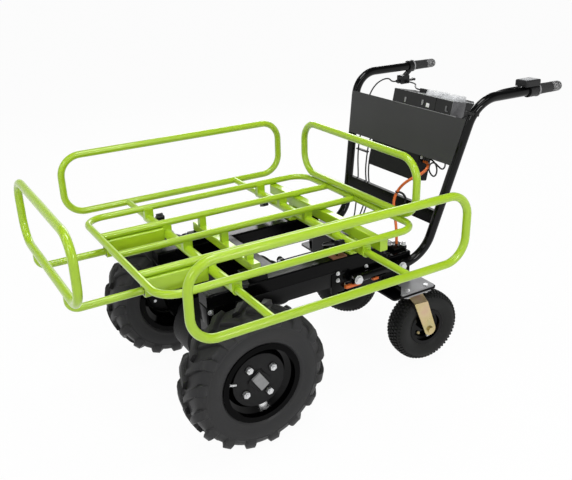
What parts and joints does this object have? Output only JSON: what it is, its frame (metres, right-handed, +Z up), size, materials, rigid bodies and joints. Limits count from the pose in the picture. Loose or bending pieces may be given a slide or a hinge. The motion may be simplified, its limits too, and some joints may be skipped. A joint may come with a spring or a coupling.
{
  "type": "electric wheelbarrow",
  "caption": "Flat-bed electric cart: tube deck with pull-out load rails, driven lug-tyred wheels in front, swivel casters behind and a push handle with throttle, brake and battery box.",
  "frame": {"origin": "on the floor under the middle of the cart's box", "axes": "+X forward to the load end, +Y to the operator's left, +Z up"},
  "size_m": [1.524, 0.98, 0.8675],
  "materials": {
    "green_paint": "gloss lime green powder coat on steel tube",
    "black_paint": "satin black powder coat on steel",
    "wheel_paint": "gloss black paint on pressed steel",
    "tread_rubber": "matt black moulded rubber",
    "yellow_zinc": "yellow passivated zinc plate",
    "bright_zinc": "bright zinc plate",
    "turned_steel": "turned steel",
    "cast_case": "black painted casting",
    "motor_shell": "black paint on steel shell",
    "lever_alloy": "black anodised alloy",
    "grip_rubber": "matt black rubber",
    "black_plastic": "fine grained black plastic",
    "knob_plastic": "black moulded plastic",
    "bush_nylon": "black nylon",
    "clear_plastic": "clear moulded plastic",
    "cable_black": "black cable sheath",
    "cable_orange": "orange cable sheath"
  },
  "bodies": {
    "frame": {"deck_loop": "green_paint", "deck_bars": "green_paint", "rod_receivers": "green_paint", "front_receivers": "green_paint", "front_mount": "green_paint", "rear_mount": "green_paint", "rear_rail": "green_paint", "frame_beams": "black_paint", "axle_brackets": "black_paint", "cross_member": "black_paint", "rear_box": "black_paint", "handle_left": "black_paint", "handle_right": "black_paint", "cross_bar": "black_paint", "panel": "black_paint", "saddle_blocks": "black_paint", "rear_plate": "black_paint", "caster_mounts": "bright_zinc", "frame_bolts": "bright_zinc", "axle_bearings": "turned_steel", "axle_housing": "cast_case", "controller_box": "cast_case", "drive_motor": "motor_shell", "brake_drum": "motor_shell", "brake_perch": "lever_alloy", "grip_right": "grip_rubber", "throttle_housing": "black_plastic", "battery_box": "black_plastic", "battery_packs": "black_plastic", "rod_bushes": "bush_nylon", "brake_cable": "cable_black", "control_leads": "cable_black", "motor_lead": "cable_orange"},
    "drive_wheel_left": {"tyre_left": "tread_rubber", "rim_left": "wheel_paint", "hub_shaft_left": "turned_steel", "wheel_nuts_left": "bright_zinc"},
    "drive_wheel_right": {"tyre_right": "tread_rubber", "rim_right": "wheel_paint", "hub_shaft_right": "turned_steel", "wheel_nuts_right": "bright_zinc"},
    "caster_left": {"caster_fork_left": "yellow_zinc", "caster_axle_left": "yellow_zinc"},
    "caster_right": {"caster_fork_right": "yellow_zinc", "caster_axle_right": "yellow_zinc"},
    "caster_wheel_left": {"caster_rim_left": "wheel_paint", "caster_tyre_left": "tread_rubber"},
    "caster_wheel_right": {"caster_rim_right": "wheel_paint", "caster_tyre_right": "tread_rubber"},
    "left_rail": {"rail_left": "green_paint"},
    "right_rail": {"rail_right": "green_paint"},
    "front_rail": {"rail_front": "green_paint"},
    "knob_front_left": {"lock_knob_front_left": "knob_plastic"},
    "knob_front_right": {"lock_knob_front_right": "knob_plastic"},
    "knob_rear_left": {"lock_knob_rear_left": "knob_plastic"},
    "knob_rear_right": {"lock_knob_rear_right": "knob_plastic"},
    "brake_hand_lever": {"brake_lever": "lever_alloy"},
    "brake_drum_arm": {"brake_arm": "black_paint"},
    "throttle": {"throttle_grip": "grip_rubber"},
    "battery_lid": {"battery_cover": "clear_plastic"}
  },
  "joints": [
    {"name": "drive_wheel_left_spin", "type": "hinge", "parent": "frame", "child": "drive_wheel_left", "pos_m": [0.338, 0.288, 0.203], "axis": [0, 1, 0], "continuous": true},
    {"name": "drive_wheel_right_spin", "type": "hinge", "parent": "frame", "child": "drive_wheel_right", "pos_m": [0.338, -0.288, 0.203], "axis": [0, 1, 0], "continuous": true},
    {"name": "caster_left_swivel", "type": "hinge", "parent": "frame", "child": "caster_left", "pos_m": [-0.269, 0.213, 0.248], "axis": [0, 0, 1], "continuous": true},
    {"name": "caster_left_spin", "type": "hinge", "parent": "caster_left", "child": "caster_wheel_left", "pos_m": [-0.31578, 0.21759, 0.118], "axis": [0.0976, 0.9952, 0], "continuous": true},
    {"name": "caster_right_swivel", "type": "hinge", "parent": "frame", "child": "caster_right", "pos_m": [-0.269, -0.213, 0.248], "axis": [0, 0, 1], "continuous": true},
    {"name": "caster_right_spin", "type": "hinge", "parent": "caster_right", "child": "caster_wheel_right", "pos_m": [-0.29501, -0.17385, 0.118], "axis": [0.8329, 0.5534, 0], "continuous": true},
    {"name": "left_rail_slide", "type": "slide", "parent": "frame", "child": "left_rail", "axis": [0, 1, 0], "range_m": [-0.144, 0]},
    {"name": "right_rail_slide", "type": "slide", "parent": "frame", "child": "right_rail", "axis": [0, -1, 0], "range_m": [-0.144, 0]},
    {"name": "front_rail_slide", "type": "slide", "parent": "frame", "child": "front_rail", "axis": [1, 0, 0], "range_m": [-0.095, 0]},
    {"name": "knob_front_left_turn", "type": "hinge", "parent": "frame", "child": "knob_front_left", "pos_m": [0.376, 0.272, 0.47], "axis": [-1, 0, 0], "range_deg": [-360, 0]},
    {"name": "knob_front_right_turn", "type": "hinge", "parent": "frame", "child": "knob_front_right", "pos_m": [0.376, -0.272, 0.47], "axis": [-1, 0, 0], "range_deg": [-360, 0]},
    {"name": "knob_rear_left_turn", "type": "hinge", "parent": "frame", "child": "knob_rear_left", "pos_m": [-0.024, 0.215, 0.47], "axis": [1, 0, 0], "range_deg": [-360, 0]},
    {"name": "knob_rear_right_turn", "type": "hinge", "parent": "frame", "child": "knob_rear_right", "pos_m": [-0.024, -0.215, 0.47], "axis": [1, 0, 0], "range_deg": [-360, 0]},
    {"name": "brake_lever_pull", "type": "hinge", "parent": "frame", "child": "brake_hand_lever", "pos_m": [-0.623, -0.279, 0.789], "axis": [0, 1, 0], "range_deg": [0, 12], "stiffness_Nm_per_rad": 4},
    {"name": "brake_arm_pull", "type": "hinge", "parent": "frame", "child": "brake_drum_arm", "pos_m": [0.133, 0.109, 0.315], "axis": [0, 1, 0], "range_deg": [-8, 0], "stiffness_Nm_per_rad": 4},
    {"name": "throttle_twist", "type": "hinge", "parent": "frame", "child": "throttle", "pos_m": [-0.71, 0.279, 0.833], "axis": [1, 0, 0], "range_deg": [0, 60], "stiffness_Nm_per_rad": 0.3},
    {"name": "battery_lid_hinge", "type": "hinge", "parent": "frame", "child": "battery_lid", "pos_m": [-0.4968, 0.126, 0.79949], "axis": [0, -1, 0], "range_deg": [0, 100]}
  ],
  "couplings": [
    {"joint": "brake_arm_pull", "follows": "brake_lever_pull", "ratio": -0.66667}
  ]
}
